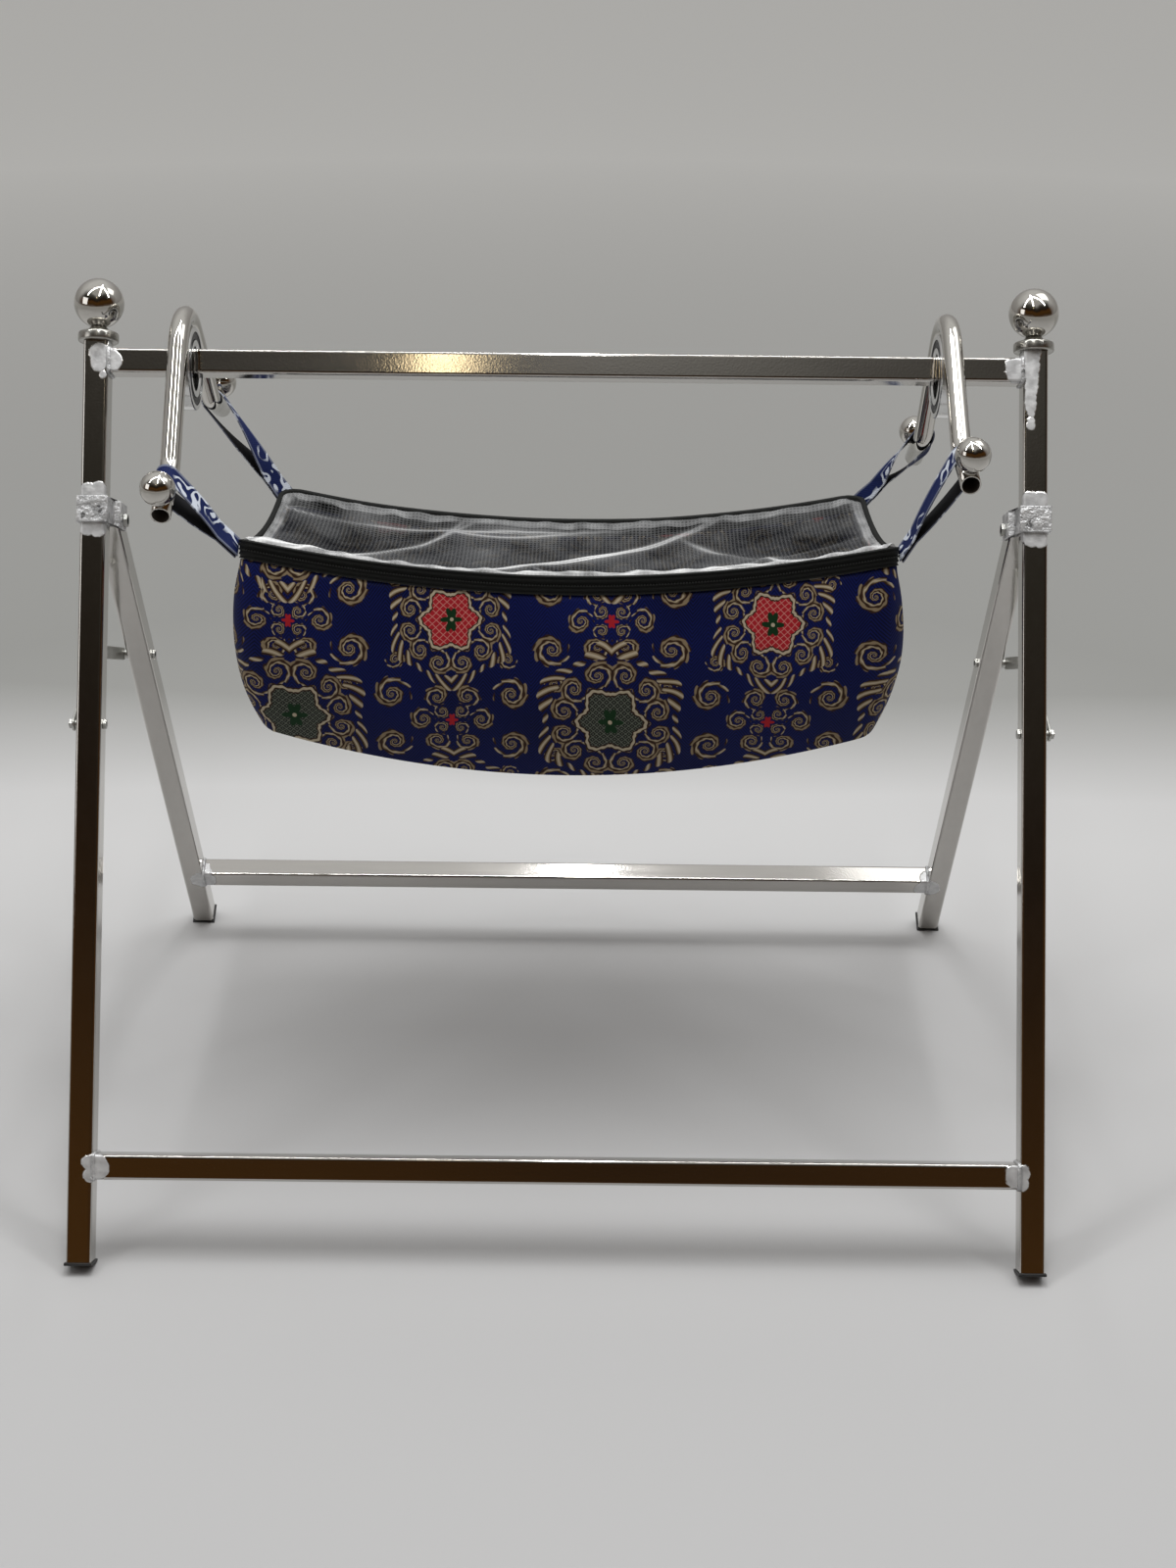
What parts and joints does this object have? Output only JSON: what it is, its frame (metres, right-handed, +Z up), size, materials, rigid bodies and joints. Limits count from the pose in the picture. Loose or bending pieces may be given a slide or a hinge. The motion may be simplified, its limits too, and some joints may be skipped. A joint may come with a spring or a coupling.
{
  "type": "hanging baby cradle",
  "caption": "Folding A-frame stand of square steel tube with a cloth basket under a zipped net, hung from two ball bearings on its top rail.",
  "frame": {"origin": "on the floor under the middle of the stand, at the bottom centre of its bounding box", "axes": "+Z up; +X along the top rail, to the right seen from the front; +Y from the front posts towards the back legs"},
  "size_m": [1.0078, 0.7516, 0.8963],
  "materials": {
    "polished_steel": "polished stainless tube, darker where it mirrors the room",
    "bearing_steel": "ground and polished",
    "silver_paint": "brushed-on aluminium paint",
    "zinc_steel": "dull zinc plate",
    "black_plastic": "moulded, matt",
    "seal_rubber": "smooth dark seal",
    "printed_cloth": "navy cloth with a scroll print in beige, brown, grey-green and red",
    "strap_cloth": "blue webbing with white thread, black behind",
    "zip_tape": "black zip tape",
    "white_net": "fine white mosquito net"
  },
  "bodies": {
    "front_frame": {"top_rail": "polished_steel", "front_lower_rail": "polished_steel", "front_post_left": "polished_steel", "front_foot_plug_left": "black_plastic", "post_cap_left": "polished_steel", "finial_ball_left": "polished_steel", "pivot_clamp_left": "silver_paint", "stay_bolt_post_left": "zinc_steel", "pivot_bolt_left": "zinc_steel", "bearing_inner_ring_left": "bearing_steel", "front_post_right": "polished_steel", "front_foot_plug_right": "black_plastic", "post_cap_right": "polished_steel", "finial_ball_right": "polished_steel", "pivot_clamp_right": "silver_paint", "stay_bolt_post_right": "zinc_steel", "pivot_bolt_right": "zinc_steel", "bearing_inner_ring_right": "bearing_steel"},
    "back_frame": {"back_rail": "polished_steel", "back_leg_left": "polished_steel", "back_foot_plug_left": "black_plastic", "leg_top_plug_left": "black_plastic", "stay_bolt_leg_left": "zinc_steel", "back_leg_right": "polished_steel", "back_foot_plug_right": "black_plastic", "leg_top_plug_right": "black_plastic", "stay_bolt_leg_right": "zinc_steel"},
    "stay_front_left": {"stay_front_link_left": "zinc_steel", "stay_rivet_left": "zinc_steel"},
    "stay_front_right": {"stay_front_link_right": "zinc_steel", "stay_rivet_right": "zinc_steel"},
    "stay_rear_left": {"stay_rear_link_left": "zinc_steel"},
    "stay_rear_right": {"stay_rear_link_right": "zinc_steel"},
    "cradle": {"basket_shell": "printed_cloth", "zip_band": "zip_tape", "net_cover": "white_net", "zip_slider": "zinc_steel", "bearing_outer_ring_left": "bearing_steel", "bearing_seal_outer_left": "seal_rubber", "bearing_seal_inner_left": "seal_rubber", "hanger_left": "polished_steel", "hook_ball_front_left": "polished_steel", "hook_ball_rear_left": "polished_steel", "strap_front_left": "strap_cloth", "strap_rear_left": "strap_cloth", "bearing_outer_ring_right": "bearing_steel", "bearing_seal_outer_right": "seal_rubber", "bearing_seal_inner_right": "seal_rubber", "hanger_right": "polished_steel", "hook_ball_front_right": "polished_steel", "hook_ball_rear_right": "polished_steel", "strap_front_right": "strap_cloth", "strap_rear_right": "strap_cloth"},
    "ball_cage_left": {"bearing_ball_cage_left": "bearing_steel"},
    "ball_cage_right": {"bearing_ball_cage_right": "bearing_steel"}
  },
  "joints": [
    {"name": "fold", "type": "hinge", "parent": "front_frame", "child": "back_frame", "pos_m": [0, 0.02031, 0.6615], "axis": [-1, 0, 0], "range_deg": [0, 54]},
    {"name": "swing", "type": "hinge", "parent": "front_frame", "child": "cradle", "pos_m": [0, 0.0611, 0.81177], "axis": [1, 0, 0], "range_deg": [-30, 30]},
    {"name": "stay_front_left_turn", "type": "hinge", "parent": "front_frame", "child": "stay_front_left", "pos_m": [-0.49585, -0.11074, 0.48853], "axis": [1, 0, 0], "range_deg": [0, 38.2]},
    {"name": "stay_rear_left_turn", "type": "hinge", "parent": "back_frame", "child": "stay_rear_left", "pos_m": [-0.49305, 0.11946, 0.47185], "axis": [-1, 0, 0], "range_deg": [0, 31]},
    {"name": "ball_cage_left_roll", "type": "hinge", "parent": "front_frame", "child": "ball_cage_left", "pos_m": [-0.388, 0.0611, 0.81177], "axis": [1, 0, 0], "range_deg": [-17.6, 17.6]},
    {"name": "stay_front_right_turn", "type": "hinge", "parent": "front_frame", "child": "stay_front_right", "pos_m": [0.49585, -0.11074, 0.48853], "axis": [1, 0, 0], "range_deg": [0, 38.2]},
    {"name": "stay_rear_right_turn", "type": "hinge", "parent": "back_frame", "child": "stay_rear_right", "pos_m": [0.49305, 0.11946, 0.47185], "axis": [-1, 0, 0], "range_deg": [0, 31]},
    {"name": "ball_cage_right_roll", "type": "hinge", "parent": "front_frame", "child": "ball_cage_right", "pos_m": [0.388, 0.0611, 0.81177], "axis": [1, 0, 0], "range_deg": [-17.6, 17.6]}
  ],
  "couplings": [
    {"joint": "stay_front_left_turn", "follows": "fold", "ratio": 0.70604},
    {"joint": "stay_rear_left_turn", "follows": "fold", "ratio": 0.57232},
    {"joint": "ball_cage_left_roll", "follows": "swing", "ratio": 0.5848},
    {"joint": "stay_front_right_turn", "follows": "fold", "ratio": 0.70604},
    {"joint": "stay_rear_right_turn", "follows": "fold", "ratio": 0.57232},
    {"joint": "ball_cage_right_roll", "follows": "swing", "ratio": 0.5848}
  ]
}
